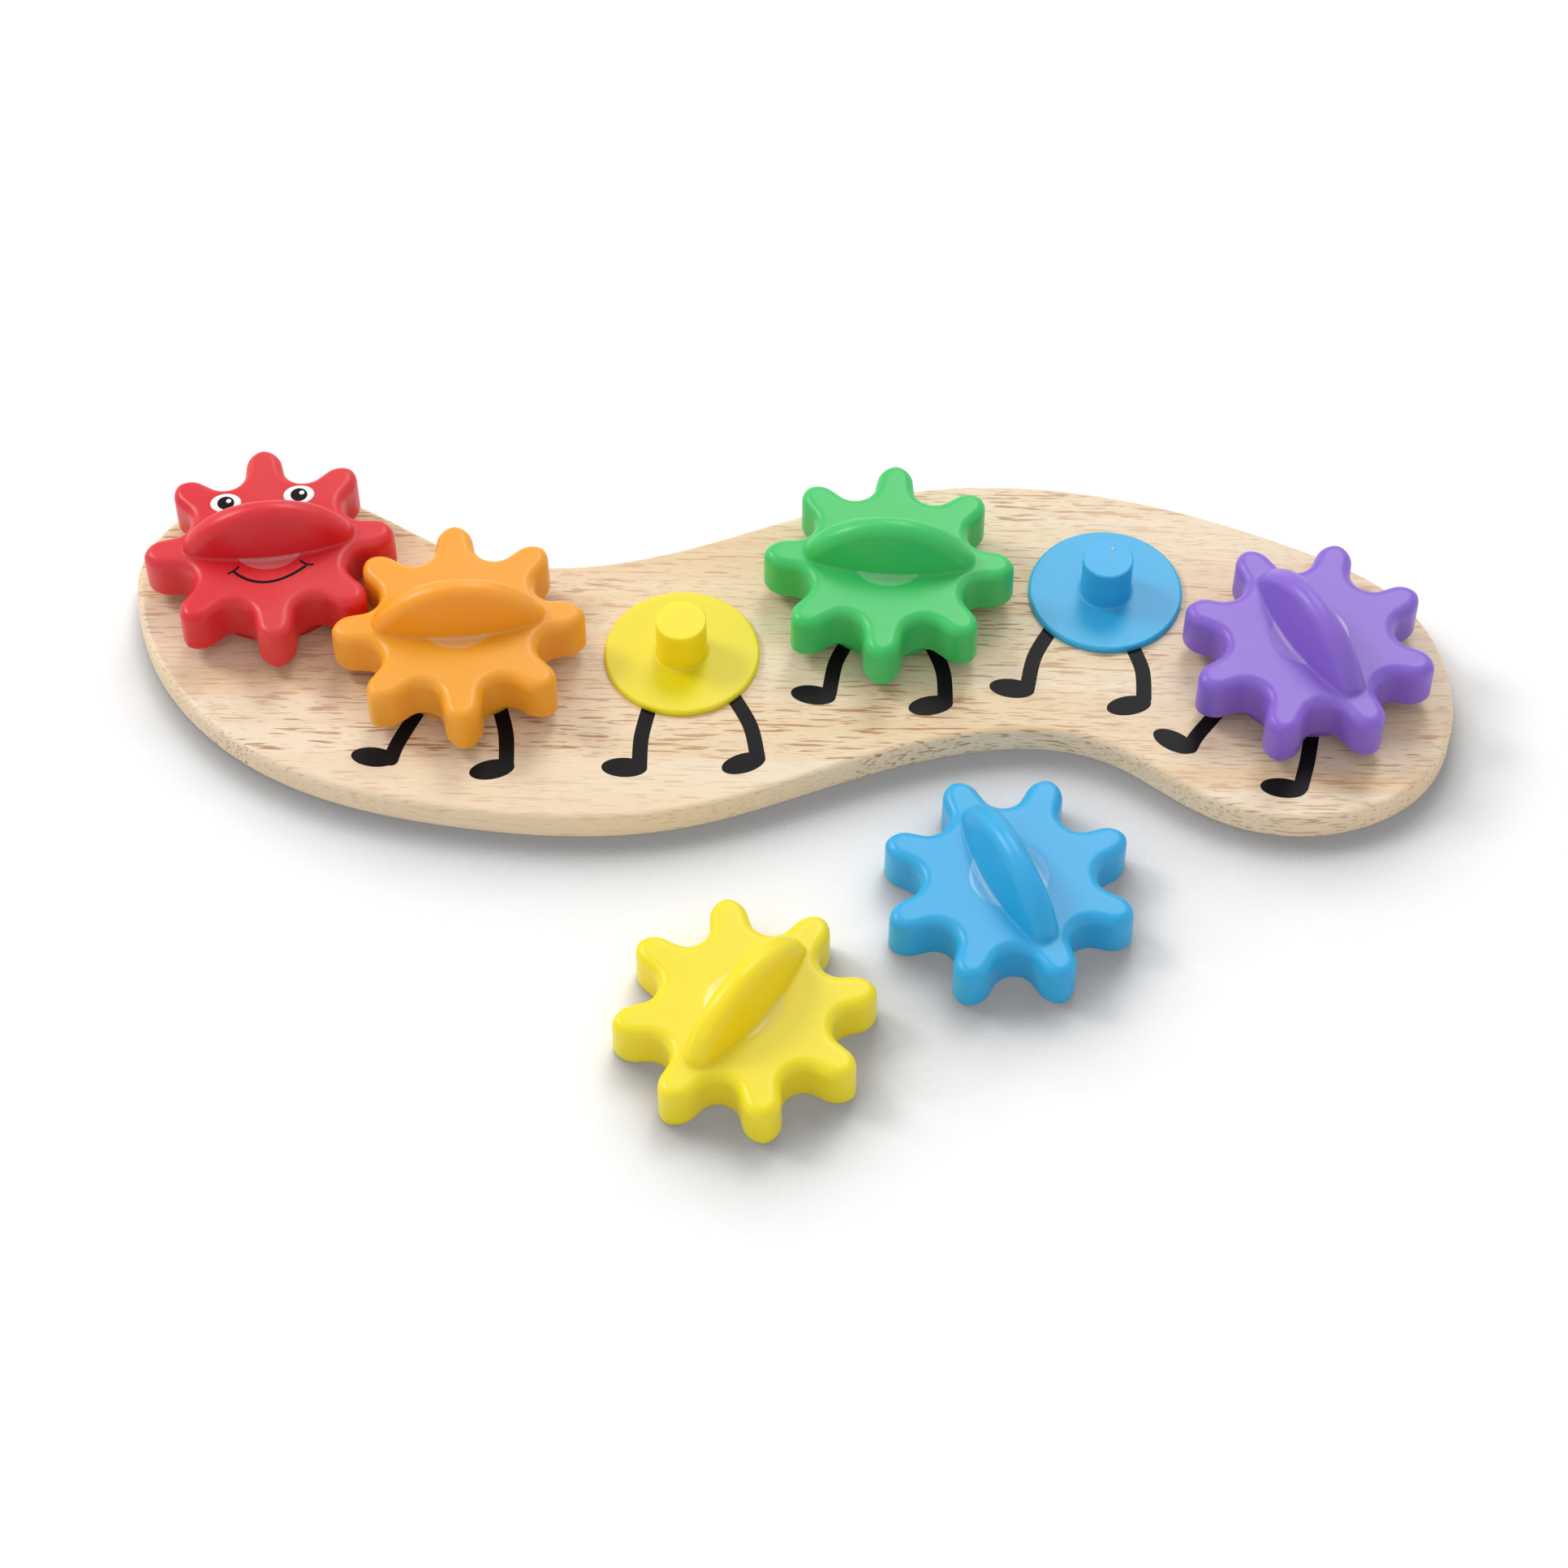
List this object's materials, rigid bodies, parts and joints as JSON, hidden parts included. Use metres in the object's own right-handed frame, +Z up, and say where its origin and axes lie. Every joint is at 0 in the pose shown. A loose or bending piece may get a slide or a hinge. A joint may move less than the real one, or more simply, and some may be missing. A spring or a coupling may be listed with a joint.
{
  "type": "wooden gear board toy",
  "caption": "Wavy wooden board with moulded pegs along it, and toothed gears that drop over the pegs, mesh and are spun by the finger grips on their tops.",
  "frame": {"origin": "middle of the board's underside, on the surface that it lies on", "axes": "+X along the board from the head (red gear) to the tail (purple gear), +Y away from the loose gears, +Z up"},
  "size_m": [0.3949, 0.234, 0.0451],
  "materials": {
    "wood": "clear satin lacquer",
    "plastic_red": "satin",
    "plastic_orange": "satin",
    "plastic_yellow": "satin",
    "plastic_green": "satin",
    "plastic_blue": "satin",
    "plastic_purple": "satin",
    "screw_steel": "zinc plated"
  },
  "bodies": {
    "board": {"board_stave_front_left": "wood", "board_stave_front_right": "wood", "board_stave_middle": "wood", "board_stave_back": "wood", "red_hub": "plastic_red", "orange_hub": "plastic_orange", "yellow_hub": "plastic_yellow", "green_hub": "plastic_green", "blue_hub": "plastic_blue", "purple_hub": "plastic_purple", "hub_screws": "screw_steel"},
    "red_gear": {"red_gear": "plastic_red"},
    "orange_gear": {"orange_gear": "plastic_orange"},
    "yellow_gear": {"yellow_gear": "plastic_yellow"},
    "green_gear": {"green_gear": "plastic_green"},
    "blue_gear": {"blue_gear": "plastic_blue"},
    "purple_gear": {"purple_gear": "plastic_purple"}
  },
  "joints": [
    {"name": "red_spin", "type": "hinge", "parent": "board", "child": "red_gear", "pos_m": [-0.15575, 0.0222, 0.022], "axis": [0, 0, 1], "continuous": true},
    {"name": "orange_spin", "type": "hinge", "parent": "board", "child": "orange_gear", "pos_m": [-0.09699, -0.00697, 0.022], "axis": [0, 0, 1], "continuous": true},
    {"name": "green_spin", "type": "hinge", "parent": "board", "child": "green_gear", "pos_m": [0.02974, 0.01974, 0.022], "axis": [0, 0, 1], "continuous": true},
    {"name": "purple_spin", "type": "hinge", "parent": "board", "child": "purple_gear", "pos_m": [0.15351, -0.00747, 0.022], "axis": [0, 0, 1], "continuous": true},
    {"name": "yellow_lift", "type": "slide", "parent": "board", "child": "yellow_gear", "axis": [0, 0, 1], "range_m": [0, 0.03]},
    {"name": "blue_lift", "type": "slide", "parent": "board", "child": "blue_gear", "axis": [0, 0, 1], "range_m": [0, 0.03]}
  ],
  "couplings": [
    {"joint": "orange_spin", "follows": "red_spin", "ratio": -1}
  ]
}
